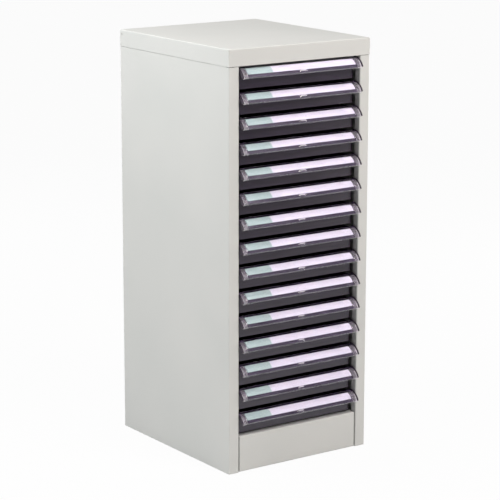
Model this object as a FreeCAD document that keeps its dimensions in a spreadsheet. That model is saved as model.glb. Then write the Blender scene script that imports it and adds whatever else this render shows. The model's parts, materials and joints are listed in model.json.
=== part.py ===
"""Steel drawer cabinet with fifteen moulded letter trays, in millimetres.

+Z is up, the trays pull out towards -Y, and +X is right as seen from the front. The origin lies on
the floor under the middle of the whole cabinet. Inside each piece, y counts back from the plane of
the front flanges, and z counts up from the floor or, on a tray, from the bottom of the tray's slot.
"""

import FreeCAD, Part
import math
import os
import Sketcher

DRAWERS = 15
SCREWS_PER_SIDE = 2

SIZES = (
    ("cabinet_width", 285.0, "across the two side panels"),
    ("cabinet_depth", 330.0, "front flanges to rear flanges"),
    ("sheet", 1.0, "thickness of the steel sheet"),
    ("bend", 2.0, "outer radius of a fold"),
    ("panel_fit", 0.2, "clearance between carcass sheets that slide together"),
    ("cover_skirt", 28.5, "height of the top cover's skirt"),
    ("cover_return", 10.0, "fold behind the lower edge of the front skirt"),
    ("cover_seam", 0.8, "open seam under the skirt"),
    ("relief_hole", 3.0, "bend relief at the rear corners of the cover"),
    ("relief_edge", 6.0, "bend relief from the rear face"),
    ("relief_drop", 8.0, "bend relief from the top face"),
    ("tongue_gap", 6.0, "tongue of a side panel to the underside of the cover"),
    ("flange_width", 20.0, "front flange of a side panel"),
    ("flange_return", 12.6, "fold behind the inner edge of the front flange"),
    ("rear_flange", 18.0, "rear flange of a side panel"),
    ("foot_flange", 16.0, "in-turned flange that stands on the floor"),
    ("plinth_height", 62.0, "floor to the lowest slot"),
    ("plinth_setback", 1.2, "plinth face behind the front flanges"),
    ("plinth_seam", 2.2, "open seam at each end of the plinth"),
    ("plinth_lap", 3.0, "fold at the top of the plinth over the base shelf"),
    ("plinth_foot", 12.0, "fold at the bottom of the plinth"),
    ("shelf_flange", 18.0, "down-turned edge of the base shelf"),
    ("screw_head", 7.0, "diameter of a back panel screw's head"),
    ("screw_dome", 1.4, "height of the screw's head"),
    ("screw_shank", 3.5, "diameter of the screw's shank"),
    ("screw_length", 6.0, "length under the screw's head"),
    ("screw_fit", 0.15, "clearance round the shank"),
    ("screw_edge", 28.0, "end screws from the ends of a side panel"),
    ("drawer_pitch", 41.3, "slot to slot"),
    ("stop_fit", 0.5, "clearance at the stops"),
    ("front_recess", 12.0, "tray front behind the front flanges"),
    ("front_gap", 4.0, "tray front to the side of the opening"),
    ("front_land", 1.0, "full-width side of a tray behind its front corners"),
    ("rear_gap", 4.0, "tray to the back panel"),
    ("tray_lift", 2.4, "tray floor above the bottom of its slot"),
    ("tray_wall", 2.0, "wall of a tray"),
    ("tray_corner", 5.0, "rounded front corners and bevelled rear corners of a tray"),
    ("tray_draft", 2.0, "draft of the lower walls in degrees"),
    ("ledge_height", 16.0, "top of a runner above the bottom of its slot"),
    ("ledge_overlap", 6.0, "runner under the step of a tray"),
    ("ledge_lip", 4.0, "down-turned inner edge of a runner"),
    ("runner_web", 12.0, "welded edge of a runner"),
    ("slide_fit", 0.3, "clearance between a tray's step and its runner"),
    ("side_fit", 1.0, "clearance between a tray's lower wall and its runner"),
    ("lug_setback", 70.9, "front of a stop lug from the rear of the tray"),
    ("lug_height", 10.0, "height of a stop lug"),
    ("lug_land", 4.0, "flat outer face of a stop lug"),
    ("lug_ramp", 12.0, "lead-in ramp behind the land"),
    ("lug_bite", 3.0, "stop lug past the edge of the opening"),
    ("lip_gap", 1.0, "end of the pull lip to the side of the opening"),
    ("lip_clear", 2.6, "crown of the label holder's curve below the top of the slot"),
    ("lip_radius", 23.1, "outer radius of the pull lip"),
    ("lip_wall", 2.0, "thickness of the pull lip"),
    ("lip_sweep", 68.0, "the lip's curve, in degrees from upright"),
    ("cheek_wall", 2.4, "cheek at each end of the lip"),
    ("cheek_rise", 1.0, "cheek above the face of the label holder"),
    ("card_inset", 12.5, "end of the label card from the end of the lip"),
    ("card_height", 13.5, "label card along the curve"),
    ("card_rise", 5.4, "lower edge of the card above the lip's edge, along the curve"),
    ("card_sheet", 0.3, "thickness of the card"),
    ("card_fit", 0.05, "clearance on each face of the card"),
    ("holder_wall", 1.2, "thickness of the clear label holder"),
    ("holder_fit", 0.2, "clearance between the holder's end and the lip's cheek"),
    ("holder_top", 9.0, "upper edge of the holder, in degrees from upright"),
    ("hook_fit", 0.2, "clearance between the holder's hook and the lip's edge"),
    ("nib_length", 10.6, "nib in the middle of the holder"),
    ("nib_rise", 0.8, "nib above the face of the holder"),
    ("nib_height", 3.0, "nib along the curve"),
    ("nib_drop", 1.4, "lower edge of the nib above the lip's edge, along the curve"),
)


class Size:
    """A size as a number and as the sheet expression that gives it."""

    def __init__(self, number, text):
        self.number = number
        self.text = text

    def __add__(self, other):
        other = as_size(other)
        return Size(self.number + other.number, f"({self.text} + {other.text})")

    def __sub__(self, other):
        other = as_size(other)
        return Size(self.number - other.number, f"({self.text} - {other.text})")

    def __mul__(self, other):
        other = as_size(other)
        return Size(self.number * other.number, f"({self.text} * {other.text})")

    def __truediv__(self, other):
        other = as_size(other)
        return Size(self.number / other.number, f"({self.text} / {other.text})")

    def __neg__(self):
        return self * -1


def as_size(value):
    return value if isinstance(value, Size) else Size(value, f"({value})")


def sine(angle):
    return Size(math.sin(math.radians(angle.number)), f"sin({angle.text} * 1 deg)")


def cosine(angle):
    return Size(math.cos(math.radians(angle.number)), f"cos({angle.text} * 1 deg)")


def arc_angle(length, radius):
    """The angle in degrees that an arc of this length spans at this radius."""
    return length / radius * (180 / math.pi)


doc = FreeCAD.newDocument("drawer_cabinet")
sheet = doc.addObject("Spreadsheet::Sheet", "Sheet")
size = {}
for row, (alias, value, meaning) in enumerate(SIZES, start=1):
    sheet.set(f"A{row}", alias)
    sheet.set(f"B{row}", str(value))
    sheet.set(f"C{row}", meaning)
    sheet.setAlias(f"B{row}", alias)
    size[alias] = Size(value, f"Sheet.{alias}")
doc.recompute()

# Sizes that follow from the sheet.
SHEET = size["sheet"]
BEND = size["bend"]
INNER_BEND = BEND - SHEET
FIT = size["panel_fit"]
HALF_WIDTH = size["cabinet_width"] / 2
DEPTH = size["cabinet_depth"]
OPENING_HEIGHT = size["drawer_pitch"] * DRAWERS
HEIGHT = size["plinth_height"] + OPENING_HEIGHT + size["cover_skirt"]
COVER_BOTTOM = HEIGHT - size["cover_skirt"]
SIDE_TOP = COVER_BOTTOM - size["cover_seam"]
HALF_OPENING = HALF_WIDTH - size["flange_width"]
BACK_INSIDE = DEPTH - SHEET * 2
SHELF_FRONT = size["flange_return"] + FIT

TRAY_WALL = size["tray_wall"]
TRAY_FRONT = size["front_recess"]
TRAY_REAR = BACK_INSIDE - size["rear_gap"]
TRAY_HALF = HALF_OPENING - size["front_gap"]
TRAY_STEP = size["ledge_height"] + size["slide_fit"]
TRAY_LOWER_HALF = TRAY_HALF - size["ledge_overlap"] - size["side_fit"]
FRONT_SHOULDER = TRAY_FRONT + size["tray_corner"] + size["front_land"]
LEDGE_EDGE = TRAY_LOWER_HALF + size["side_fit"]

LIP_OUTER = size["lip_radius"]
LIP_INNER = LIP_OUTER - size["lip_wall"]
LIP_LENGTH = (HALF_OPENING - size["lip_gap"]) * 2
CARD_INNER = LIP_OUTER + size["card_fit"]
CARD_OUTER = CARD_INNER + size["card_sheet"]
HOLDER_INNER = CARD_OUTER + size["card_fit"]
HOLDER_OUTER = HOLDER_INNER + size["holder_wall"]
HOLDER_LENGTH = LIP_LENGTH - (size["cheek_wall"] + size["holder_fit"]) * 2
CHEEK_OUTER = HOLDER_OUTER + size["cheek_rise"]
LIP_AXIS = (TRAY_FRONT + TRAY_WALL, size["drawer_pitch"] - size["lip_clear"] - HOLDER_OUTER)
TRAY_RIM = LIP_AXIS[1] + (LIP_OUTER + LIP_INNER) / 2

# Edges on the lip's curve, in degrees from upright.
LIP_EDGE = size["lip_sweep"]
CARD_FOOT = LIP_EDGE - arc_angle(size["card_rise"], LIP_OUTER)
CARD_TOP = CARD_FOOT - arc_angle(size["card_height"], LIP_OUTER)
NIB_FOOT = LIP_EDGE - arc_angle(size["nib_drop"], LIP_OUTER)
NIB_TOP = NIB_FOOT - arc_angle(size["nib_height"], LIP_OUTER)
HOOK_START = LIP_EDGE + arc_angle(size["hook_fit"], LIP_OUTER)
HOOK_END = HOOK_START + arc_angle(size["holder_wall"], LIP_OUTER)

# The whole depth runs from the lips' cheeks to the screws' heads, with the origin at its middle.
LIP_REACH = CHEEK_OUTER * sine(LIP_EDGE) - LIP_AXIS[0]
FRONT_PLANE = (LIP_REACH - DEPTH - size["screw_dome"]) / 2


def slot_bottom(number):
    """The bottom of a tray's slot above the floor, with tray 1 at the top."""
    return size["plinth_height"] + size["drawer_pitch"] * (DRAWERS - number)


def new_body(name, height=None):
    """A body whose y counts from the front plane and whose z counts from this height."""
    body = doc.addObject("PartDesign::Body", name)
    body.Label = name
    body.AllowCompound = True
    body.setExpression("Placement.Base.y", FRONT_PLANE.text)
    if height is not None:
        body.setExpression("Placement.Base.z", height.text)
    return body


def origin_feature(body, role):
    return next(item for item in body.Origin.OriginFeatures if item.Role == role)


def new_sketch(body, name, plane, offset=None):
    """A sketch on one of the body's own planes, moved along the plane's normal."""
    sketch = body.newObject("Sketcher::SketchObject", f"{body.Name}_{name}")
    sketch.AttachmentSupport = (origin_feature(body, f"{plane}_Plane"), [""])
    sketch.MapMode = "FlatFace"
    if offset is not None:
        sketch.setExpression("AttachmentOffset.Base.z", offset.text)
    return sketch


def pin_point(sketch, geometry, end, point):
    """Fix one end of a line, or a circle's centre, at a point given by sizes."""
    for kind, place in zip(("DistanceX", "DistanceY"), point):
        index = sketch.addConstraint(Sketcher.Constraint(kind, -1, 1, geometry, end, place.number))
        sketch.setExpression(f"Constraints[{index}]", place.text)


def set_radius(sketch, geometry, radius):
    index = sketch.addConstraint(Sketcher.Constraint("Radius", geometry, radius.number))
    sketch.setExpression(f"Constraints[{index}]", radius.text)


def vector(point):
    return FreeCAD.Vector(point[0].number, point[1].number, 0)


def add_line(sketch, start, end, construction=False):
    index = sketch.addGeometry(Part.LineSegment(vector(start), vector(end)), construction)
    pin_point(sketch, index, 1, start)
    pin_point(sketch, index, 2, end)


def add_arc(sketch, centre, radius, start, end):
    """The shorter arc from start to end, as a sketch arc that runs counter-clockwise."""
    middle = vector(centre)
    first = vector(start) - middle
    last = vector(end) - middle
    if first.cross(last).z < 0:
        first, last = last, first
        start, end = end, start
    begin = math.atan2(first.y, first.x)
    circle = Part.Circle(middle, FreeCAD.Vector(0, 0, 1), radius.number)
    arc = Part.ArcOfCircle(circle, begin, begin + first.getAngle(last))
    index = sketch.addGeometry(arc, False)
    pin_point(sketch, index, 1, start)
    pin_point(sketch, index, 2, end)
    set_radius(sketch, index, radius)


def toward(point, other, length):
    """The point this far along the square edge that leads to the other corner."""
    moved = []
    for here, there in zip(point, other):
        gap = there.number - here.number
        moved.append(here if abs(gap) < 1e-6 else here + length * math.copysign(1, gap))
    return tuple(moved)


def draw_outline(sketch, corners):
    """A closed outline. A corner (x, y, radius) between two square edges is rounded."""
    ends = []
    for index, corner in enumerate(corners):
        before = corners[index - 1][:2]
        after = corners[(index + 1) % len(corners)][:2]
        point = corner[:2]
        if len(corner) == 2:
            ends.append((point, point))
            continue
        radius = corner[2]
        arrive = toward(point, before, radius)
        leave = toward(point, after, radius)
        centre = tuple(one + two - three for one, two, three in zip(arrive, leave, point))
        add_arc(sketch, centre, radius, arrive, leave)
        ends.append((arrive, leave))
    for index, (arrive, leave) in enumerate(ends):
        add_line(sketch, leave, ends[(index + 1) % len(ends)][0])


def draw_band(sketch, stations):
    """A closed outline round the lip's axis through stations (radius, degrees from upright)."""
    points = []
    for radius, angle in stations:
        points.append((LIP_AXIS[0] - radius * sine(angle), LIP_AXIS[1] + radius * cosine(angle)))
    for index, (radius, _) in enumerate(stations):
        following = (index + 1) % len(stations)
        if stations[following][0] is radius:
            add_arc(sketch, LIP_AXIS, radius, points[index], points[following])
        else:
            add_line(sketch, points[index], points[following])


def rectangle(half_width, front, rear):
    """Corners of a plan outline that is symmetric about the middle."""
    return [(-half_width, front), (half_width, front), (half_width, rear), (-half_width, rear)]


def bevelled(half_width, front, rear, cut):
    """The same outline with its four corners cut off at 45 degrees."""
    return [
        (-half_width + cut, front),
        (half_width - cut, front),
        (half_width, front + cut),
        (half_width, rear - cut),
        (half_width - cut, rear),
        (-half_width + cut, rear),
        (-half_width, rear - cut),
        (-half_width, front + cut),
    ]


def extrude(body, kind, sketch, length, reverse=False, symmetric=False):
    """A pad or pocket of the sketch, with its length bound to the sheet."""
    feature = body.newObject(f"PartDesign::{kind}", f"{sketch.Name}_{kind.lower()}")
    feature.Profile = sketch
    feature.setExpression("Length", length.text)
    feature.Reversed = reverse
    if symmetric:
        feature.SideType = "Symmetric"
    return feature


def round_edges(body, feature, name, radius, keep):
    """Fillet the feature's edges that the test keeps."""
    doc.recompute()
    edges = feature.Shape.Edges
    chosen = [f"Edge{index}" for index, edge in enumerate(edges, start=1) if keep(edge)]
    fillet = body.newObject("PartDesign::Fillet", f"{body.Name}_{name}")
    fillet.Base = (feature, chosen)
    fillet.setExpression("Radius", radius.text)
    return fillet


def lies_at(edge, height):
    return all(abs(vertex.Z - height.number) < 1e-4 for vertex in edge.Vertexes)


def mirror(body, feature):
    """Repeat a feature on the other side of the middle plane."""
    copy = body.newObject("PartDesign::Mirrored", f"{feature.Name}_mirrored")
    copy.Originals = [feature]
    copy.MirrorPlane = (origin_feature(body, "YZ_Plane"), [""])
    body.Tip = copy
    return copy


def screw_points():
    """Screw centres along one rear flange, as (distance from the middle plane, height)."""
    span = SIDE_TOP - size["screw_edge"] * 2
    across = HALF_WIDTH - size["rear_flange"] / 2
    steps = SCREWS_PER_SIDE - 1
    return [(across, size["screw_edge"] + span * (step / steps)) for step in range(SCREWS_PER_SIDE)]


def drill_screw_holes(body, name, sides):
    """Clearance holes for the back panel screws, cut forward from the rear face."""
    sketch = new_sketch(body, name, "XZ", -DEPTH)
    radius = size["screw_shank"] / 2 + size["screw_fit"]
    for side in sides:
        for across, height in screw_points():
            centre = (across * side, height)
            circle = Part.Circle(vector(centre), FreeCAD.Vector(0, 0, 1), radius.number)
            index = sketch.addGeometry(circle, False)
            pin_point(sketch, index, 3, centre)
            set_radius(sketch, index, radius)
    return extrude(body, "Pocket", sketch, SHEET * 3, reverse=True)


def make_top_cover():
    """A folded pan with its skirt downwards and a return behind the front skirt."""
    body = new_body("top_cover")
    sketch = new_sketch(body, "outside", "XY", COVER_BOTTOM)
    draw_outline(sketch, rectangle(HALF_WIDTH, as_size(0), DEPTH))
    block = extrude(body, "Pad", sketch, size["cover_skirt"])
    round_edges(body, block, "bends", BEND, lambda edge: lies_at(edge, HEIGHT))

    sketch = new_sketch(body, "inside", "XY", COVER_BOTTOM + SHEET)
    draw_outline(sketch, rectangle(HALF_WIDTH - SHEET, SHEET, DEPTH - SHEET))
    extrude(body, "Pocket", sketch, size["cover_skirt"] - SHEET * 2, reverse=True)

    sketch = new_sketch(body, "mouth", "XY", COVER_BOTTOM)
    draw_outline(sketch, rectangle(HALF_WIDTH - SHEET, SHEET + size["cover_return"], DEPTH - SHEET))
    extrude(body, "Pocket", sketch, SHEET, reverse=True)

    sketch = new_sketch(body, "relief", "YZ")
    centre = (DEPTH - size["relief_edge"], HEIGHT - size["relief_drop"])
    radius = size["relief_hole"] / 2
    circle = Part.Circle(vector(centre), FreeCAD.Vector(0, 0, 1), radius.number)
    sketch.addGeometry(circle, False)
    pin_point(sketch, 0, 3, centre)
    set_radius(sketch, 0, radius)
    extrude(body, "Pocket", sketch, size["cabinet_width"], symmetric=True)
    return body


def make_side_panel(name, side):
    """A sheet folded in plan, with a tongue under the top cover and a foot flange."""
    body = new_body(name)
    outer = HALF_WIDTH * side
    inward = -side

    def at(distance):
        return outer + distance * inward

    inside = at(SHEET)
    front_edge = at(size["flange_width"])
    sketch = new_sketch(body, "folds", "XY")
    draw_outline(sketch, [
        (front_edge, size["flange_return"]),
        (front_edge, as_size(0), BEND),
        (outer, as_size(0), BEND),
        (outer, DEPTH, BEND),
        (at(size["rear_flange"]), DEPTH),
        (at(size["rear_flange"]), DEPTH - SHEET),
        (inside, DEPTH - SHEET, INNER_BEND),
        (inside, SHEET, INNER_BEND),
        (at(size["flange_width"] - SHEET), SHEET, INNER_BEND),
        (at(size["flange_width"] - SHEET), size["flange_return"]),
    ])
    extrude(body, "Pad", sketch, SIDE_TOP)

    tongue_outer = at(SHEET + FIT)
    tongue_inner = at(SHEET * 2 + FIT)
    tongue_front = SHEET * 2 + size["cover_return"] + FIT
    tongue_length = BACK_INSIDE - SHEET - tongue_front
    tongue_top = HEIGHT - SHEET - size["tongue_gap"]
    sketch = new_sketch(body, "tongue", "XZ", -tongue_front)
    draw_outline(sketch, [
        (at(SHEET / 2), SIDE_TOP - SHEET),
        (tongue_inner, SIDE_TOP - SHEET),
        (tongue_inner, tongue_top),
        (tongue_outer, tongue_top),
        (tongue_outer, SIDE_TOP),
        (at(SHEET / 2), SIDE_TOP),
    ])
    extrude(body, "Pad", sketch, tongue_length, reverse=True)

    sketch = new_sketch(body, "foot", "XY")
    foot_inner = at(size["foot_flange"])
    foot_front = size["plinth_setback"] + size["plinth_foot"] + FIT
    foot_rear = BACK_INSIDE - SHEET
    draw_outline(sketch, [
        (at(SHEET / 2), foot_front),
        (foot_inner, foot_front),
        (foot_inner, foot_rear),
        (at(SHEET / 2), foot_rear),
    ])
    extrude(body, "Pad", sketch, SHEET)
    drill_screw_holes(body, "screw_holes", (side,))
    return body


def make_back_panel():
    """A flat sheet inside the rear flanges, up to the underside of the top cover."""
    body = new_body("back_panel")
    bottom = SHEET + FIT
    sketch = new_sketch(body, "panel", "XZ", -BACK_INSIDE)
    half = HALF_WIDTH - SHEET - BEND
    draw_outline(sketch, rectangle(half, bottom, HEIGHT - SHEET - BEND))
    extrude(body, "Pad", sketch, SHEET, reverse=True)
    drill_screw_holes(body, "screw_holes", (-1, 1))
    return body


def make_base_shelf():
    """A pan with down-turned edges between the side panels."""
    body = new_body("base_shelf")
    half = HALF_WIDTH - SHEET - FIT
    front = SHELF_FRONT
    rear = BACK_INSIDE - FIT
    top = size["plinth_height"] - SHEET
    sketch = new_sketch(body, "outside", "XY", top - size["shelf_flange"])
    draw_outline(sketch, rectangle(half, front, rear))
    block = extrude(body, "Pad", sketch, size["shelf_flange"])
    round_edges(body, block, "bends", BEND, lambda edge: lies_at(edge, top))
    sketch = new_sketch(body, "inside", "XY", top - size["shelf_flange"])
    draw_outline(sketch, rectangle(half - SHEET, front + SHEET, rear - SHEET))
    extrude(body, "Pocket", sketch, size["shelf_flange"] - SHEET, reverse=True)
    return body


def make_plinth_panel():
    """A front panel folded back at the top, the bottom and both ends."""
    body = new_body("plinth_panel")
    half = HALF_OPENING - size["plinth_seam"]
    face = size["plinth_setback"]
    top = size["plinth_height"]
    top_rear = SHELF_FRONT + size["plinth_lap"]
    foot_rear = face + size["plinth_foot"]
    zero = as_size(0)
    sketch = new_sketch(body, "folds", "YZ")
    draw_outline(sketch, [
        (foot_rear, zero),
        (face, zero, BEND),
        (face, top, BEND),
        (top_rear, top),
        (top_rear, top - SHEET),
        (face + SHEET, top - SHEET, INNER_BEND),
        (face + SHEET, SHEET, INNER_BEND),
        (foot_rear, SHEET),
    ])
    extrude(body, "Pad", sketch, half * 2, symmetric=True)
    sketch = new_sketch(body, "end", "YZ", half - SHEET)
    end_front = face + SHEET / 2
    end_rear = size["flange_return"] - SHEET
    draw_outline(sketch, [
        (end_front, BEND),
        (end_rear, BEND),
        (end_rear, top - SHEET / 2),
        (end_front, top - BEND),
    ])
    end = extrude(body, "Pad", sketch, SHEET)
    mirror(body, end)
    return body


def make_runners(name, side):
    """Fifteen folded runners welded to one side panel, one under the step of each tray."""
    body = new_body(name)
    wall = (HALF_WIDTH - SHEET) * side
    edge = LEDGE_EDGE * side
    web_inside = (HALF_WIDTH - SHEET * 2) * side
    lip_inside = (LEDGE_EDGE + SHEET) * side
    top = slot_bottom(DRAWERS) + size["ledge_height"]
    front = FRONT_SHOULDER + size["stop_fit"]
    rear = DEPTH - size["screw_length"] - size["stop_fit"]
    sketch = new_sketch(body, "section", "XZ", -front)
    draw_outline(sketch, [
        (wall, top - size["runner_web"]),
        (wall, top),
        (edge, top),
        (edge, top - size["ledge_lip"]),
        (lip_inside, top - size["ledge_lip"]),
        (lip_inside, top - SHEET),
        (web_inside, top - SHEET),
        (web_inside, top - size["runner_web"]),
    ])
    runner = extrude(body, "Pad", sketch, rear - front, reverse=True)
    pattern = body.newObject("PartDesign::LinearPattern", f"{name}_pattern")
    pattern.Originals = [runner]
    pattern.Direction = (origin_feature(body, "Z_Axis"), [""])
    pattern.setExpression("Length", (size["drawer_pitch"] * (DRAWERS - 1)).text)
    pattern.Occurrences = DRAWERS
    body.Tip = pattern
    return body


def make_screws():
    """Domed screws through the rear flanges and the back panel."""
    body = new_body("back_panel_screws")
    for side in (-1, 1):
        for number, (across, height) in enumerate(screw_points(), start=1):
            hand = "left" if side < 0 else "right"
            sketch = new_sketch(body, f"{hand}_{number}", "XY", height)
            axis = across * side
            rim = axis + size["screw_head"] / 2
            crown = axis + size["screw_head"] / 4
            shank = axis + size["screw_shank"] / 2
            tip = DEPTH - size["screw_length"]
            draw_outline(sketch, [
                (axis, tip),
                (shank, tip),
                (shank, DEPTH),
                (rim, DEPTH),
                (crown, DEPTH + size["screw_dome"]),
                (axis, DEPTH + size["screw_dome"]),
            ])
            add_line(sketch, (axis, as_size(0)), (axis, DEPTH), construction=True)
            turned = body.newObject("PartDesign::Revolution", f"{sketch.Name}_turned")
            turned.Profile = sketch
            turned.ReferenceAxis = (sketch, ["Axis0"])
            turned.Angle = 360
    return body


def make_tray(number):
    """A moulded tray whose stepped sides ride on the runners, with a curved pull lip in front."""
    body = new_body(f"drawer_tray_{number:02d}", slot_bottom(number))
    lift = size["tray_lift"]
    corner = size["tray_corner"]
    inner_cut = corner - TRAY_WALL * (2 - math.sqrt(2))

    sketch = new_sketch(body, "front", "XY", lift)
    draw_outline(sketch, [
        (-TRAY_HALF, FRONT_SHOULDER),
        (-TRAY_HALF, TRAY_FRONT, corner),
        (TRAY_HALF, TRAY_FRONT, corner),
        (TRAY_HALF, FRONT_SHOULDER),
    ])
    extrude(body, "Pad", sketch, TRAY_RIM - lift)

    sketch = new_sketch(body, "upper", "XY", TRAY_STEP)
    draw_outline(sketch, [
        (-TRAY_HALF, TRAY_FRONT + corner),
        (TRAY_HALF, TRAY_FRONT + corner),
        (TRAY_HALF, TRAY_REAR - corner),
        (TRAY_HALF - corner, TRAY_REAR),
        (-TRAY_HALF + corner, TRAY_REAR),
        (-TRAY_HALF, TRAY_REAR - corner),
    ])
    extrude(body, "Pad", sketch, TRAY_RIM - TRAY_STEP)

    sketch = new_sketch(body, "lower", "XY", TRAY_STEP)
    draw_outline(sketch, bevelled(TRAY_LOWER_HALF, TRAY_FRONT + TRAY_WALL, TRAY_REAR, corner))
    lower = extrude(body, "Pad", sketch, TRAY_STEP - lift, reverse=True)
    lower.setExpression("TaperAngle", (-size["tray_draft"]).text)

    sketch = new_sketch(body, "upper_inside", "XY", TRAY_RIM)
    front = TRAY_FRONT + TRAY_WALL
    rear = TRAY_REAR - TRAY_WALL
    draw_outline(sketch, bevelled(TRAY_HALF - TRAY_WALL, front, rear, inner_cut))
    extrude(body, "Pocket", sketch, TRAY_RIM - TRAY_STEP - TRAY_WALL)

    sketch = new_sketch(body, "lower_inside", "XY", TRAY_STEP + TRAY_WALL)
    draw_outline(sketch, bevelled(TRAY_LOWER_HALF - TRAY_WALL, front, rear, inner_cut))
    well = extrude(body, "Pocket", sketch, TRAY_STEP - lift)
    well.setExpression("TaperAngle", (-size["tray_draft"]).text)

    sketch = new_sketch(body, "lip", "YZ")
    upright = as_size(0)
    draw_band(sketch, [
        (LIP_OUTER, upright),
        (LIP_OUTER, LIP_EDGE),
        (LIP_INNER, LIP_EDGE),
        (LIP_INNER, upright),
    ])
    extrude(body, "Pad", sketch, LIP_LENGTH, symmetric=True)

    sketch = new_sketch(body, "cheek", "YZ", LIP_LENGTH / 2 - size["cheek_wall"])
    draw_band(sketch, [
        (CHEEK_OUTER, upright),
        (CHEEK_OUTER, LIP_EDGE),
        (LIP_INNER, LIP_EDGE),
        (LIP_INNER, upright),
    ])
    cheek = extrude(body, "Pad", sketch, size["cheek_wall"])
    mirror(body, cheek)

    sketch = new_sketch(body, "lug", "XY", TRAY_STEP + size["slide_fit"])
    root = TRAY_HALF - TRAY_WALL / 2
    tip = HALF_OPENING + size["lug_bite"]
    lug_front = TRAY_REAR - size["lug_setback"]
    land_rear = lug_front + size["lug_land"]
    draw_outline(sketch, [
        (root, lug_front),
        (tip, lug_front),
        (tip, land_rear),
        (root, land_rear + size["lug_ramp"]),
    ])
    lug = extrude(body, "Pad", sketch, size["lug_height"])
    mirror(body, lug)
    return body


def make_label_holder(number):
    """A clear strip over the lip, hooked round the lip's lower edge, with a nib in the middle."""
    body = new_body(f"label_holder_{number:02d}", slot_bottom(number))
    top = size["holder_top"]
    sketch = new_sketch(body, "section", "YZ")
    draw_band(sketch, [
        (HOLDER_OUTER, top),
        (HOLDER_OUTER, HOOK_END),
        (LIP_INNER, HOOK_END),
        (LIP_INNER, HOOK_START),
        (HOLDER_INNER, HOOK_START),
        (HOLDER_INNER, top),
    ])
    extrude(body, "Pad", sketch, HOLDER_LENGTH, symmetric=True)
    nib_outer = HOLDER_OUTER + size["nib_rise"]
    nib_root = HOLDER_OUTER - size["holder_wall"] / 2
    sketch = new_sketch(body, "nib", "YZ")
    draw_band(sketch, [
        (nib_outer, NIB_TOP),
        (nib_outer, NIB_FOOT),
        (nib_root, NIB_FOOT),
        (nib_root, NIB_TOP),
    ])
    extrude(body, "Pad", sketch, size["nib_length"], symmetric=True)
    return body


def make_label_card(number):
    """A paper strip between the lip and its clear holder."""
    body = new_body(f"label_card_{number:02d}", slot_bottom(number))
    sketch = new_sketch(body, "section", "YZ")
    draw_band(sketch, [
        (CARD_OUTER, CARD_TOP),
        (CARD_OUTER, CARD_FOOT),
        (CARD_INNER, CARD_FOOT),
        (CARD_INNER, CARD_TOP),
    ])
    extrude(body, "Pad", sketch, LIP_LENGTH - size["card_inset"] * 2, symmetric=True)
    return body


pieces = [
    make_top_cover(),
    make_side_panel("left_side_panel", -1),
    make_side_panel("right_side_panel", 1),
    make_back_panel(),
    make_base_shelf(),
    make_plinth_panel(),
    make_runners("left_runner_angles", -1),
    make_runners("right_runner_angles", 1),
    make_screws(),
]
for drawer in range(1, DRAWERS + 1):
    pieces.append(make_tray(drawer))
    pieces.append(make_label_holder(drawer))
    pieces.append(make_label_card(drawer))
doc.recompute()

failed = [item.Label for item in doc.Objects if {"Invalid", "Error"} & set(item.State)]
failed += [piece.Label for piece in pieces if piece.Shape.isNull() or not piece.Shape.isValid()]
if failed:
    raise RuntimeError(f"not built: {', '.join(failed)}")

os.makedirs("parts", exist_ok=True)
for piece in pieces:
    piece.Shape.exportStep(f"parts/{piece.Label}.step")
    count = len(piece.Shape.Solids)
    print(f"{piece.Label}: {count} solid(s), {piece.Shape.Volume / 1000:.1f} cm3")
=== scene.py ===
# %% [markdown]
# # A steel drawer cabinet with fifteen letter trays
#
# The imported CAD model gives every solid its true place, in metres, with +Z up and the trays pulling
# out towards -Y. This lesson dresses those solids: it gives each one the finish of the real material,
# and swaps the plainest small pieces for finer surfaces that are worked out with numpy.

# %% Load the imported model
import json
import math

import bpy
import numpy as np
from mathutils import Matrix, Vector


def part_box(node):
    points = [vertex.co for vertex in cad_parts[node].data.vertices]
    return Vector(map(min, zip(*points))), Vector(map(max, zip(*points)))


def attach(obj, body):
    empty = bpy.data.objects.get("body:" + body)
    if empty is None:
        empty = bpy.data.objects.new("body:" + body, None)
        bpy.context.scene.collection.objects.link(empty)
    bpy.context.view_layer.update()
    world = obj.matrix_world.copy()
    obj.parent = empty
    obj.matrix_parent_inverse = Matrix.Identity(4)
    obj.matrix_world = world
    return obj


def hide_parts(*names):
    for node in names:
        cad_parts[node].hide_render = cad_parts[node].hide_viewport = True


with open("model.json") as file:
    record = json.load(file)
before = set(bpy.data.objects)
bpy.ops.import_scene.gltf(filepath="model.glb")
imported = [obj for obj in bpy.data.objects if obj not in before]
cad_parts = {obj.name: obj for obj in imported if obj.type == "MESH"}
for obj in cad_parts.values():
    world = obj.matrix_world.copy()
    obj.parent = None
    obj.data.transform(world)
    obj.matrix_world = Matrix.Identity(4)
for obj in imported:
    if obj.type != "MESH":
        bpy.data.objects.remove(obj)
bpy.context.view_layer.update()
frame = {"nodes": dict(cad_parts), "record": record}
nodes = frame["nodes"]
MM = 0.001

# %% [markdown]
# ## Small helpers for materials
#
# Colours are easiest to judge as the sRGB hex values that a colour picker shows, but Blender's shaders
# work with linear light, so one function converts them. A second one adds a shader node, sets its
# values and makes its links in one call, so that a material reads as a short list. Patterns are sized
# in millimetres, as on the real surface, and turned into the scale that a noise node wants.

# %% Colours
def linear(hex_colour):
    """sRGB hex to linear RGBA.

    A channel up to 0.04045 is divided by 12.92. Above that, (c + 0.055) / 1.055 is raised to 2.4.
    """
    channels = np.array([int(hex_colour[i:i + 2], 16) for i in (1, 3, 5)]) / 255
    light = np.where(channels <= 0.04045, channels / 12.92, ((channels + 0.055) / 1.055) ** 2.4)
    return (*light.tolist(), 1.0)


print("middle grey #808080 is", round(linear("#808080")[0], 3), "in linear light")


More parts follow.
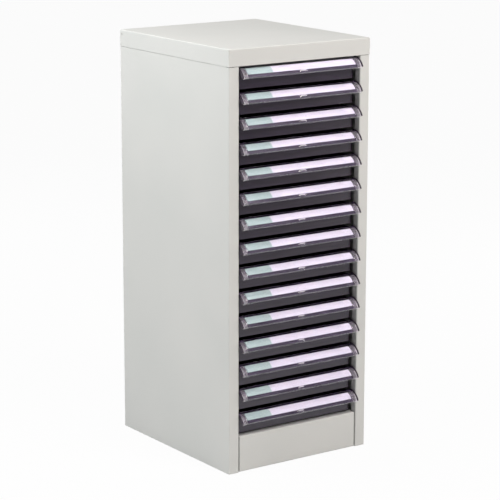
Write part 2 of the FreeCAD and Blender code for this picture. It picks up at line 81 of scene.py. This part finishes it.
# %% Shader nodes
def add(tree, kind, settings=None, links=None):
    """Add a node, set its properties or input values by name, and link its inputs from other sockets."""
    node = tree.nodes.new("ShaderNode" + kind)
    for name, value in (settings or {}).items():
        if isinstance(name, str) and name in node.bl_rna.properties:
            setattr(node, name, value)
        else:
            node.inputs[name].default_value = value
    for name, socket in (links or {}).items():
        tree.links.new(socket, node.inputs[name])
    return node


def new_material(name):
    """An empty node material, its node tree and its output node."""
    material = bpy.data.materials.new(name)
    material.use_nodes = True
    tree = material.node_tree
    tree.nodes.clear()
    return material, tree, add(tree, "OutputMaterial")


def per_metre(millimetres):
    """Noise scale in cells per metre for features of this size."""
    return 1 / (millimetres * MM)


print("features of 5 mm need a noise scale of", round(per_metre(5)))

# %% [markdown]
# ## Powder-coated steel
#
# The carcass is sheet steel, sprayed with dry powder and baked. The coat is a thin satin plastic with a
# fine orange peel that breaks up reflections, and its tone drifts very slightly over a large panel.
# Painted maps could give this, but noise on object coordinates has no seams and needs no unwrapping.
# The peel is about a millimetre across on the real coat. The camera cannot resolve that, so a second,
# coarser ripple of about 9 mm carries it into the render.

# %% Powder coat
def make_powder_coat():
    """A satin coat: drifting tone, fine and coarse peel as bumps, roughness that follows the ripple."""
    material, tree, output = new_material("powder_coated_steel_light_grey")
    place = add(tree, "TexCoord").outputs["Object"]
    drift = add(tree, "TexNoise", {"Scale": per_metre(160), "Detail": 2.0, "Roughness": 0.4},
                {"Vector": place})
    tone = add(tree, "ValToRGB", links={"Fac": drift.outputs["Fac"]})
    tone.color_ramp.elements[0].position = 0.3
    tone.color_ramp.elements[0].color = linear("#D2D4D1")
    tone.color_ramp.elements[1].position = 0.7
    tone.color_ramp.elements[1].color = linear("#D7D8D5")
    peel = add(tree, "TexNoise", {"Scale": per_metre(1.2), "Detail": 1.0}, {"Vector": place})
    ripple = add(tree, "TexNoise", {"Scale": per_metre(9), "Detail": 1.0}, {"Vector": place})
    fine = add(tree, "Bump", {"Strength": 0.12, "Distance": 0.05 * MM}, {"Height": peel.outputs["Fac"]})
    coarse = add(tree, "Bump", {"Strength": 0.12, "Distance": 0.15 * MM},
                 {"Height": ripple.outputs["Fac"], "Normal": fine.outputs["Normal"]})
    satin = add(tree, "MapRange", {"To Min": 0.42, "To Max": 0.5}, {"Value": ripple.outputs["Fac"]})
    coat = add(tree, "BsdfPrincipled", {"IOR": 1.5},
               {"Base Color": tone.outputs["Color"], "Roughness": satin.outputs["Result"],
                "Normal": coarse.outputs["Normal"]})
    tree.links.new(coat.outputs["BSDF"], output.inputs["Surface"])
    return material


powder_coat = make_powder_coat()
print("made", powder_coat.name)

# %% [markdown]
# ## Charcoal polystyrene
#
# The trays are injection moulded in polished steel tools, so the plastic is smooth and shiny. Close up
# it has faint flow streaks across the width of the tray and a haze of fine handling scuffs that only
# show in the gloss. Streaks come from noise that is stretched along X, scuffs from a roughness pattern.
# Both are kept weak: on so dark a plastic the gloss is most of what the eye sees. A bevel node rounds
# the moulded edges in the shading, so that they catch a thin line of light.

# %% Tray plastic
def make_tray_plastic():
    """A shiny dark plastic: streaks in tone and bump, scuffs in roughness, edges rounded in shading."""
    material, tree, output = new_material("polystyrene_charcoal_moulded")
    place = add(tree, "TexCoord").outputs["Object"]
    stretched = add(tree, "Mapping", {"Scale": (0.12, 1.0, 1.0)}, {"Vector": place})
    streaks = add(tree, "TexNoise", {"Scale": per_metre(7), "Detail": 3.0},
                  {"Vector": stretched.outputs["Vector"]})
    tone = add(tree, "ValToRGB", links={"Fac": streaks.outputs["Fac"]})
    tone.color_ramp.elements[0].position = 0.3
    tone.color_ramp.elements[0].color = linear("#312839")
    tone.color_ramp.elements[1].position = 0.7
    tone.color_ramp.elements[1].color = linear("#393042")
    scuffs = add(tree, "TexNoise", {"Scale": per_metre(4), "Detail": 4.0},
                 {"Vector": stretched.outputs["Vector"]})
    gloss = add(tree, "MapRange", {"From Min": 0.3, "From Max": 0.75, "To Min": 0.22, "To Max": 0.27},
                {"Value": scuffs.outputs["Fac"]})
    edge = add(tree, "Bevel", {"samples": 4, "Radius": 0.5 * MM})
    waves = add(tree, "Bump", {"Strength": 0.03, "Distance": 0.1 * MM},
                {"Height": streaks.outputs["Fac"], "Normal": edge.outputs["Normal"]})
    plastic = add(tree, "BsdfPrincipled", {"IOR": 1.59},
                  {"Base Color": tone.outputs["Color"], "Roughness": gloss.outputs["Result"],
                   "Normal": waves.outputs["Normal"]})
    tree.links.new(plastic.outputs["BSDF"], output.inputs["Surface"])
    return material


tray_plastic = make_tray_plastic()
print("made", tray_plastic.name)

# %% [markdown]
# ## Clear polystyrene
#
# The label holders are moulded in clear polystyrene, which bends light strongly, so their edges flash.
# A renderer lets no lamp light through such a solid on its own and the paper below would stay dark, so
# rays that carry shadows pass through a plain transparent shader instead.
#
# The mould is polished where one looks through the holder. Its ends are finely etched and look hazy.
# The nib's upper half and the outermost rims are spark eroded for grip: rougher still, and white where
# light scatters. One function makes all three, from a colour, a range of roughness and how much of the
# light passes through.

# %% Clear plastic
def make_clear_plastic(name, colour, roughness, clarity):
    """A refracting plastic whose roughness drifts between two values, and which casts no dark shadow."""
    material, tree, output = new_material(name)
    place = add(tree, "TexCoord").outputs["Object"]
    haze = add(tree, "TexNoise", {"Scale": per_metre(5), "Detail": 3.0}, {"Vector": place})
    gloss = add(tree, "MapRange", {"From Min": 0.4, "From Max": 0.75, "To Min": roughness[0],
                                   "To Max": roughness[1]}, {"Value": haze.outputs["Fac"]})
    plastic = add(tree, "BsdfPrincipled",
                  {"Base Color": linear(colour), "IOR": 1.55, "Transmission Weight": clarity},
                  {"Roughness": gloss.outputs["Result"]})
    clear = add(tree, "BsdfTransparent", {"Color": linear("#F6F5FA")})
    path = add(tree, "LightPath")
    mix = add(tree, "MixShader", links={"Fac": path.outputs["Is Shadow Ray"]})
    tree.links.new(plastic.outputs["BSDF"], mix.inputs[1])
    tree.links.new(clear.outputs["BSDF"], mix.inputs[2])
    tree.links.new(mix.outputs["Shader"], output.inputs["Surface"])
    return material


clear_plastic = make_clear_plastic("polystyrene_clear_polished", "#F6F5FA", (0.02, 0.08), 1.0)
hazy_plastic = make_clear_plastic("polystyrene_clear_etched", "#EDE9F0", (0.25, 0.4), 0.86)
frosted_plastic = make_clear_plastic("polystyrene_clear_spark_eroded", "#EDE9F0", (0.5, 0.65), 0.4)
print("made", clear_plastic.name + ",", hazy_plastic.name, "and", frosted_plastic.name)

# %% [markdown]
# ## Printed label paper
#
# Each strip is plain white card with a flat pale green field at its left end, 50 mm of the 218 mm. The
# paper is matte, with fibres a few millimetres long that show as a faint mottling. The field could be
# a second piece of paper, but it is printed, so it has no thickness: a step in x tells the two colours
# apart, because the strips lie along X.

# %% Label paper
TINT_EDGE = -59 * MM


def make_label_paper():
    """Matte paper: one colour left of the tint's edge and another right of it, both mottled by fibres."""
    material, tree, output = new_material("label_paper_printed")
    place = add(tree, "TexCoord").outputs["Object"]
    fibres = add(tree, "TexNoise", {"Scale": per_metre(2.5), "Detail": 3.0}, {"Vector": place})
    along = add(tree, "SeparateXYZ", links={"Vector": place})
    field = add(tree, "Math", {"operation": "LESS_THAN", 1: TINT_EDGE}, {0: along.outputs["X"]})
    print_tone = add(tree, "Mix", {"data_type": "RGBA", 6: linear("#CFCBD4"), 7: linear("#9DB0AA")},
                     {0: field.outputs["Value"]})
    shade = add(tree, "MapRange", {"To Min": 0.95, "To Max": 1.0}, {"Value": fibres.outputs["Fac"]})
    mottled = add(tree, "Mix", {"data_type": "RGBA", "blend_type": "MULTIPLY", 0: 1.0},
                  {6: print_tone.outputs[2], 7: shade.outputs["Result"]})
    grain = add(tree, "Bump", {"Strength": 0.15, "Distance": 0.03 * MM},
                {"Height": fibres.outputs["Fac"]})
    paper = add(tree, "BsdfPrincipled", {"Roughness": 0.75, "IOR": 1.45},
                {"Base Color": mottled.outputs[2], "Normal": grain.outputs["Normal"]})
    tree.links.new(paper.outputs["BSDF"], output.inputs["Surface"])
    return material


label_paper = make_label_paper()
print("made", label_paper.name)

# %% [markdown]
# ## Zinc-plated steel
#
# The back panel screws are bright zinc plated: a metal in a slightly bluish grey, with a fine crystal
# grain from the plating bath that spreads each highlight. One noise drives both tone and roughness, so
# that lighter crystals are also the duller ones.

# %% Zinc
def make_zinc():
    """A metal whose tone and roughness follow the same fine grain."""
    material, tree, output = new_material("zinc_plated_steel")
    place = add(tree, "TexCoord").outputs["Object"]
    grain = add(tree, "TexNoise", {"Scale": per_metre(0.8), "Detail": 2.0}, {"Vector": place})
    tone = add(tree, "ValToRGB", links={"Fac": grain.outputs["Fac"]})
    tone.color_ramp.elements[0].color = linear("#A9ABAE")
    tone.color_ramp.elements[1].color = linear("#C6C7C8")
    satin = add(tree, "MapRange", {"To Min": 0.22, "To Max": 0.4}, {"Value": grain.outputs["Fac"]})
    zinc = add(tree, "BsdfPrincipled", {"Metallic": 1.0},
               {"Base Color": tone.outputs["Color"], "Roughness": satin.outputs["Result"]})
    tree.links.new(zinc.outputs["BSDF"], output.inputs["Surface"])
    return material


zinc_plate = make_zinc()
print("made", zinc_plate.name)

# %% [markdown]
# ## Finishes on the CAD solids
#
# The record says which material slot each solid has. They could be dressed by hand, one after another,
# but one table from slot to material can't miss any of them. The solids keep their own meshes.

# %% Dress the solids
FINISH = {
    "powder_coated_steel": powder_coat,
    "zinc_plated_steel": zinc_plate,
    "charcoal_polystyrene": tray_plastic,
    "clear_polystyrene": clear_plastic,
    "label_paper": label_paper,
}
for part in frame["record"]["subparts"]:
    solid = nodes[part["node"]]
    solid.data.materials.clear()
    solid.data.materials.append(FINISH[part["material_slot"]])
print("dressed", len(nodes), "solids")

# %% [markdown]
# ## Building surfaces from grids
#
# A moulded strip and a pressed screw head are both surfaces of two parameters. numpy works out every
# point at once as an array of rows and columns, and one helper turns such a grid into a closed mesh:
# the columns wrap round, and the first and last rows are closed with a cap.

# %% Grid to mesh
def closed_faces(rows, columns, start=0):
    """Faces of a tube of points: each quad joins a point, its right neighbour and the two below them."""
    index = np.arange(rows * columns).reshape(rows, columns) + start
    right = np.roll(index, -1, axis=1)
    quads = np.stack([index[:-1], right[:-1], right[1:], index[1:]], axis=-1).reshape(-1, 4)
    return quads.tolist(), [index[0][::-1].tolist(), index[-1].tolist()]


def build_piece(name, grids, material):
    """One object from several grids of points, rows x columns x 3, with smooth sides and flat caps."""
    points, sides, caps = [], [], []
    for grid in grids:
        rows, columns = grid.shape[:2]
        quads, ends = closed_faces(rows, columns, sum(map(len, points)))
        points.append(grid.reshape(-1, 3))
        sides += quads
        caps += ends
    mesh = bpy.data.meshes.new(name)
    mesh.from_pydata(np.concatenate(points).tolist(), [], sides + caps)
    smooth = np.arange(len(mesh.polygons)) < len(sides)
    mesh.polygons.foreach_set("use_smooth", smooth)
    mesh.materials.append(material)
    mesh.update()
    piece = bpy.data.objects.new(name, mesh)
    bpy.context.scene.collection.objects.link(piece)
    return piece


print("a grid of 3 rows and 4 columns has", len(closed_faces(3, 4)[0]), "quads and 2 caps")


# %% Soft steps
def step_up(value, edge, width):
    """A soft step from 0 to 1 across an edge: t * t * (3 - 2 t), with t running over the width."""
    t = np.clip((value - edge) / width + 0.5, 0, 1)
    return t * t * (3 - 2 * t)


def plateau(value, low, high, width):
    """1 between two edges and 0 outside them, as the product of a rising and a falling soft step."""
    return step_up(value, low, width) * step_up(-value, -high, width)


print("a plateau from 0 to 1 is", float(plateau(0.5, 0, 1, 0.2)), "inside and",
      float(plateau(0, 0, 1, 0.2)), "at its edge")

# %% [markdown]
# ## The clear label holders
#
# Each holder is one clear moulding that lies over the curved lip and hooks round its lower edge. A real
# one has rounded edges, which is where it flashes, a shallow window over the card, and a small nib in
# the middle to lift it by. It could be bevelled from the CAD solid, but window and nib are easier as
# heights on a grid. The section is drawn flat, as distance along the lip against height over its axis,
# and then rolled round that axis.

# %% Section of a holder
FRONT_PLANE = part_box("left_side_panel")[0].y
LIP_AXIS_SET = 14 * MM
LIP_RADIUS = 23.1 * MM
HOLDER_INNER, HOLDER_OUTER, HOOK_INNER = 23.5 * MM, 24.7 * MM, 21.15 * MM
ROLL_TOP = math.radians(9.0) * LIP_RADIUS
LIP_END = math.radians(68.0) * LIP_RADIUS
HOOK_NEAR, HOOK_FAR = LIP_END + 0.25 * MM, LIP_END + 1.4 * MM
EDGE_ROUND, POINT_SPACING, ARC_POINTS = 0.3 * MM, 0.45 * MM, 5


def rounded_outline(corners, radius, spacing):
    """A closed outline with its corners replaced by quarter arcs and its straight runs divided evenly.

    An arc runs from the point one radius before the corner to the one after it: corner plus
    (1 - sin t) along the way back plus (1 - cos t) along the way on, times the radius.
    """
    corners = np.array(corners)
    ways = np.roll(corners, -1, axis=0) - corners
    lengths = np.linalg.norm(ways, axis=1)
    ways /= lengths[:, None]
    turn = np.linspace(0, math.pi / 2, ARC_POINTS)[:, None]
    runs = []
    for index, corner in enumerate(corners):
        coming, going = -ways[index - 1], ways[index]
        runs.append(corner + radius * ((1 - np.sin(turn)) * coming + (1 - np.cos(turn)) * going))
        room = lengths[index] - 2 * radius
        marks = np.linspace(radius, lengths[index] - radius, max(2, int(room / spacing) + 1))[1:-1, None]
        runs.append(corner + marks * going)
    return np.concatenate(runs)


section = rounded_outline([
    (ROLL_TOP, HOLDER_OUTER), (HOOK_FAR, HOLDER_OUTER), (HOOK_FAR, HOOK_INNER),
    (HOOK_NEAR, HOOK_INNER), (HOOK_NEAR, HOLDER_INNER), (ROLL_TOP, HOLDER_INNER),
], EDGE_ROUND, POINT_SPACING)
ahead = np.roll(section, -1, axis=0) - np.roll(section, 1, axis=0)
outward = np.stack([-ahead[:, 1], ahead[:, 0]], axis=1)
outward /= np.linalg.norm(outward, axis=1)[:, None]
print("holder section has", len(section), "points")

# %% Stations along a holder
CARD_HALF = 109 * MM
WINDOW_MARGIN, FROST_WIDTH, NIB_HALF = 1.2 * MM, 1.3 * MM, 5.3 * MM
WINDOW_SPREAD, FROST_SPREAD, NIB_SPREAD = 0.5 * MM, 0.05 * MM, 0.3 * MM
END_ROUND = 0.25 * MM
EVEN_STATIONS, EDGE_STATIONS, STATION_DIGITS = 24, 5, 6


def holder_stations(half):
    """Places along the strip, closer together at its rounded ends, at the window's ends and at the nib.

    The end is a quarter round: half - R * (1 - sin t) along the strip, drawn in by R * (1 - cos t).
    """
    turn = np.linspace(0, math.pi / 2, ARC_POINTS)
    end = half - END_ROUND * (1 - np.sin(turn))
    inset = END_ROUND * (1 - np.cos(turn))
    window_end = CARD_HALF + WINDOW_MARGIN + np.linspace(-WINDOW_SPREAD, WINDOW_SPREAD, EDGE_STATIONS)
    frost_end = half - FROST_WIDTH + np.array([-FROST_SPREAD, FROST_SPREAD])
    nib_end = NIB_HALF + np.linspace(-NIB_SPREAD, NIB_SPREAD, EDGE_STATIONS)
    even = np.linspace(0, CARD_HALF, EVEN_STATIONS)
    middle = np.unique(np.round(np.concatenate([even, window_end, frost_end, nib_end]), STATION_DIGITS))
    right = np.concatenate([middle, end])
    shrink = np.concatenate([np.zeros_like(middle), inset])
    along = np.concatenate([-right[:0:-1], right])
    return along, np.concatenate([shrink[:0:-1], shrink])


print("stations every", round(CARD_HALF / (EVEN_STATIONS - 1) / MM, 1), "mm, closer at turns")

# %% Surface of a holder
CARD_TOP, CARD_FOOT = LIP_END - 18.9 * MM, LIP_END - 5.4 * MM
WINDOW_DEPTH, WINDOW_SLOPE = 0.3 * MM, 0.8 * MM
NIB_TOP, NIB_FOOT = LIP_END - 4.4 * MM, LIP_END - 1.4 * MM
NIB_RISE, NIB_SLOPE, NIB_FROST = 0.8 * MM, 0.5 * MM, 1.7 * MM
FROST_TOP = LIP_END - 13 * MM
SKIN_DEPTH, SKIN_SLOPE = 0.3 * MM, 0.2 * MM


def holder_surface(half, slot_bottom):
    """The rolled strip: y = axis - height * sin(roll), z = axis + height * cos(roll).

    The roll is the run along the lip over the lip's radius. Each station's section is drawn in by the
    end rounding. The outer face sinks by the window's depth inside the window and rises by the nib's
    height on the nib, both with soft steps. Two more arrays say which points are hazy (the ends' outer
    face) and which are frosted (the nib's upper half and the ends' rims).
    """
    along, shrink = holder_stations(half)
    run = section[None, :, 0] - shrink[:, None] * outward[None, :, 0]
    height = section[None, :, 1] - shrink[:, None] * outward[None, :, 1]
    x = np.broadcast_to(along[:, None], run.shape)
    outer = step_up(section[:, 1], HOLDER_OUTER - SKIN_DEPTH, SKIN_SLOPE)[None, :]
    window_half = CARD_HALF + WINDOW_MARGIN
    window = (plateau(run, CARD_TOP - WINDOW_MARGIN, CARD_FOOT + WINDOW_MARGIN, WINDOW_SLOPE)
              * plateau(x, -window_half, window_half, WINDOW_SLOPE))
    nib = plateau(run, NIB_TOP, NIB_FOOT, NIB_SLOPE) * plateau(x, -NIB_HALF, NIB_HALF, NIB_SLOPE)
    height = height + outer * (NIB_RISE * nib - WINDOW_DEPTH * window)
    roll = run / LIP_RADIUS
    y = FRONT_PLANE + LIP_AXIS_SET - height * np.sin(roll)
    z = slot_bottom + LIP_AXIS_SET + height * np.cos(roll)
    frosted = np.maximum(outer * nib * (run < NIB_TOP + NIB_FROST),
                         (np.abs(x) > half - FROST_WIDTH) & (run > FROST_TOP))
    hazy = outer * (np.abs(x) > window_half) * (run > CARD_TOP)
    return np.stack([x, y, z], axis=-1), hazy, frosted


print("the window shows a card", round((CARD_FOOT - CARD_TOP) / MM, 1), "mm tall")

# %% Holders
MOST_CORNERS = 2
DRAWERS = range(1, 16)
SLOT_PITCH = 41.3 * MM
PLINTH_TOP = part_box("plinth_panel")[1].z


def etch(piece, hazy, frosted):
    """Give the hazy or the frosted material to the quads whose four corners are mostly so."""
    index = np.zeros(len(piece.data.polygons), dtype=np.int32)
    for slot, (mask, material) in enumerate([(hazy, hazy_plastic), (frosted, frosted_plastic)], start=1):
        wrapped = np.concatenate([mask, mask[:, :1]], axis=1)
        corners = wrapped[:-1, :-1] + wrapped[:-1, 1:] + wrapped[1:, :-1] + wrapped[1:, 1:]
        quads = corners.ravel() > MOST_CORNERS
        index[:len(quads)][quads] = slot
        piece.data.materials.append(material)
    piece.data.polygons.foreach_set("material_index", index)


for drawer in DRAWERS:
    node = f"label_holder_{drawer:02d}"
    low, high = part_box(node)
    slot_bottom = PLINTH_TOP + SLOT_PITCH * (len(DRAWERS) - drawer)
    surface, hazy, frosted = holder_surface((high.x - low.x) / 2, slot_bottom)
    strip = build_piece(f"clear_strip_{drawer:02d}", [surface], clear_plastic)
    etch(strip, hazy, frosted)
    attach(strip, f"drawer_{drawer:02d}")
    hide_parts(node)
print("clear strips made, each with", len(strip.data.polygons), "faces")

# %% [markdown]
# ## The back panel screws
#
# Pan-head screws hold the back panel. Each head is a low dome with a cross recess for the driver. The
# recess could be cut with a boolean, which leaves long thin faces. On a polar grid the dome is a height
# over the radius, and the recess is a depth taken away from it, so the faces stay even.

# %% Screws
HEAD_RADIUS, HEAD_RISE = 3.5 * MM, 1.4 * MM
ARM_HALF, ARM_LENGTH, ARM_DEPTH, ARM_SLOPE = 0.55 * MM, 2.1 * MM, 0.95 * MM, 0.25 * MM
RING_SHARES = np.concatenate([np.linspace(0.01, 0.7, 22), np.linspace(0.72, 1, 10)])
SPOKES = 64


def screw_head(x, y, z):
    """A head on the plane y: rise * (1 - (r / R) ** 3) ** 0.6, less the deeper of two crossed grooves.

    A groove is 1 across its arm and runs out towards its ends as 1 - (distance / length) ** 2.
    """
    share = RING_SHARES[:, None]
    angle = np.linspace(0, 2 * math.pi, SPOKES, endpoint=False)[None, :]
    along = HEAD_RADIUS * share * np.cos(angle)
    across = HEAD_RADIUS * share * np.sin(angle)
    dome = HEAD_RISE * (1 - share ** 3) ** 0.6
    grooves = [plateau(b, -ARM_HALF, ARM_HALF, ARM_SLOPE) * np.clip(1 - (a / ARM_LENGTH) ** 2, 0, None)
               for a, b in ((along, across), (across, along))]
    height = dome - ARM_DEPTH * np.maximum(*grooves)
    return np.stack([x + along, y + height, z + across], axis=-1)


low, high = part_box("back_panel_screws")
rear_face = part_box("left_side_panel")[1].y
columns = (low.x + HEAD_RADIUS, high.x - HEAD_RADIUS)
rows = (low.z + HEAD_RADIUS, high.z - HEAD_RADIUS)
domes = [screw_head(x, rear_face, z) for x in columns for z in rows]
heads = build_piece("pan_head_screws", domes, zinc_plate)
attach(heads, "carcass")
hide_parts("back_panel_screws")
print("screw heads have", len(heads.data.polygons), "faces")

# %% [markdown]
# ## The camera
#
# The photograph was taken from the front left and a little above, with a long lens, so the uprights
# look almost parallel. The place was worked out from the cabinet's corners: the camera looks at a point
# in the plane of the front flanges.

# %% Camera
AZIMUTH, ELEVATION, ROLL = (math.radians(angle) for angle in (-35.06, 12.885, 0.113))
TARGET = Vector((-0.1008, FRONT_PLANE, 0.3783))
DISTANCE = 3.38
SENSOR_WIDTH, FOCAL_PIXELS, PICTURE_PIXELS = 36, 2068, 500
back = Vector((math.sin(AZIMUTH) * math.cos(ELEVATION), -math.cos(AZIMUTH) * math.cos(ELEVATION),
               math.sin(ELEVATION)))
camera = bpy.data.objects.new("camera", bpy.data.cameras.new("camera"))
camera.data.sensor_width = SENSOR_WIDTH
camera.data.lens = FOCAL_PIXELS / PICTURE_PIXELS * SENSOR_WIDTH
level = back.to_track_quat("Z", "Y").to_matrix().to_4x4()
camera.matrix_world = Matrix.Translation(TARGET + back * DISTANCE) @ level @ Matrix.Rotation(ROLL, 4, "Z")
bpy.context.scene.collection.objects.link(camera)
bpy.context.scene.camera = camera
print("camera at", [round(value, 3) for value in camera.location])

# %% [markdown]
# ## Studio floor and world
#
# The photograph has a pure white ground. The floor and the world show white to the camera and through
# clear plastic, while the lamps alone set how bright the cabinet is. In reflections the floor glows
# with a painted pool of light: white round the cabinet and dimming with distance, as studio paper does
# away from the lamps, which is why the lower trays look lighter than the upper ones. The floor keeps a
# share of its own shading, so that the shadow still shows.

# %% What the rays see
def background_rays(tree, dimmed):
    """Two sockets: 1 for rays that show the background, and how white it is to them.

    Camera, glossy and transmission rays show it. It is white to a straight view and through clear
    plastic, and as white as the dimmed socket says once a ray has been mirrored.
    """
    path = add(tree, "LightPath")
    shown = path.outputs["Is Camera Ray"]
    for kind in ("Is Glossy Ray", "Is Transmission Ray"):
        either = add(tree, "Math", {"operation": "MAXIMUM"}, {0: shown, 1: path.outputs[kind]})
        shown = either.outputs["Value"]
    mirrored = add(tree, "Math", {"operation": "MINIMUM", 1: 1.0}, {0: path.outputs["Glossy Depth"]})
    white = add(tree, "Mix", {2: 1.0}, {0: mirrored.outputs["Value"], 3: dimmed})
    return shown, white.outputs[0]


print("background helper ready")

# %% Floor
FLOOR_HALF, FLOOR_LEVEL = 8.0, -0.3 * MM
WHITE_SHARE = 0.96
LIT_RADIUS, DIM_RADIUS, DIM_LEVEL = 0.7, 3.0, 0.15
corners = np.array([(-1, -1), (1, -1), (1, 1), (-1, 1)]) * FLOOR_HALF
corners = np.column_stack([corners, np.full(len(corners), FLOOR_LEVEL)])
floor_mesh = bpy.data.meshes.new("studio_floor")
floor_mesh.from_pydata(corners.tolist(), [], [(0, 1, 2, 3)])
floor = bpy.data.objects.new("studio_floor", floor_mesh)
bpy.context.scene.collection.objects.link(floor)
studio_paper, tree, output = new_material("studio_paper")
reach = add(tree, "VectorMath", {"operation": "LENGTH"}, {0: add(tree, "TexCoord").outputs["Object"]})
# Painted pool of light: in reflections the floor glows white within LIT_RADIUS and fades to DIM_LEVEL at
# DIM_RADIUS.
painted_pool_falloff = add(tree, "MapRange", {"interpolation_type": "SMOOTHSTEP", "From Min": LIT_RADIUS,
                                 "From Max": DIM_RADIUS, "To Min": 1.0, "To Max": DIM_LEVEL},
              {"Value": reach.outputs["Value"]})
shown, white = background_rays(tree, painted_pool_falloff.outputs["Result"])
matte = add(tree, "BsdfDiffuse", {"Color": linear("#D0D0D0")})
glow = add(tree, "Emission", {"Color": (1, 1, 1, 1)}, {"Strength": white})
share = add(tree, "Math", {"operation": "MULTIPLY", 1: WHITE_SHARE}, {0: shown})
mix = add(tree, "MixShader", links={"Fac": share.outputs["Value"]})
tree.links.new(matte.outputs["BSDF"], mix.inputs[1])
tree.links.new(glow.outputs["Emission"], mix.inputs[2])
tree.links.new(mix.outputs["Shader"], output.inputs["Surface"])
floor_mesh.materials.append(studio_paper)
print("floor made,", 2 * FLOOR_HALF, "m wide, dimming to", DIM_LEVEL, "of white in reflections")

# %% World
AMBIENT, DIM_SINE = 0.2, 0.35
world = bpy.data.worlds.new("studio")
bpy.context.scene.world = world
world.use_nodes = True
tree = world.node_tree
tree.nodes.clear()
upward = add(tree, "SeparateXYZ", links={"Vector": add(tree, "TexCoord").outputs["Generated"]})
dome = add(tree, "MapRange", {"interpolation_type": "SMOOTHSTEP", "From Min": 0.0, "From Max": DIM_SINE,
                              "To Min": 1.0, "To Max": DIM_LEVEL}, {"Value": upward.outputs["Z"]})
shown, white = background_rays(tree, dome.outputs["Result"])
strength = add(tree, "Mix", {2: AMBIENT}, {0: shown, 3: white})
sky = add(tree, "Background", {"Color": (1, 1, 1, 1)}, {"Strength": strength.outputs[0]})
tree.links.new(sky.outputs["Background"], add(tree, "OutputWorld").inputs["Surface"])
print("world made, lighting the cabinet at", AMBIENT)

# %% [markdown]
# ## Lamps
#
# Large square lamps give the soft light of a studio. The key stands high at the left and rakes the
# side panel, so that its tone falls from top to bottom. Two slightly warm lamps light the front. A
# weak, low one at the right hardly lights anything, but its mirror image gives the dark trays a sheen
# that grows towards their right ends. The last two light the sides that the photograph doesn't show.

# %% Lamps
WARM = "#FFF8F4"


def soft_lamp(name, place, aim, side, watts, colour="#FFFFFF"):
    """A square area lamp at a place, turned to face a point."""
    lamp = bpy.data.lights.new(name, "AREA")
    lamp.size = side
    lamp.energy = watts
    lamp.color = linear(colour)[:3]
    stand = bpy.data.objects.new(name, lamp)
    place, aim = Vector(place), Vector(aim)
    turn = (place - aim).to_track_quat("Z", "Y").to_matrix().to_4x4()
    stand.matrix_world = Matrix.Translation(place) @ turn
    bpy.context.scene.collection.objects.link(stand)


soft_lamp("key_left", (-1.15, 0.15, 1.4), (0, 0, 0.7), 1.0, 18.8)
soft_lamp("fill_front", (0.2, -2.0, 1.4), (0, 0, 0.5), 1.0, 4.8, WARM)
soft_lamp("fill_high", (0.4, -1.7, 2.1), (0, 0, 0.5), 1.0, 37.5, WARM)
soft_lamp("sheen_right", (1.15, -1.24, 0.22), (0, 0, 0.5), 0.4, 0.5, WARM)
soft_lamp("fill_right", (2.0, 0.3, 0.5), (0, 0, 0.4), 0.8, 12)
soft_lamp("back", (0.0, 2.2, 1.2), (0, 0, 0.4), 1.0, 14)
bpy.context.scene.view_settings.view_transform = "Standard"
print("six lamps placed")
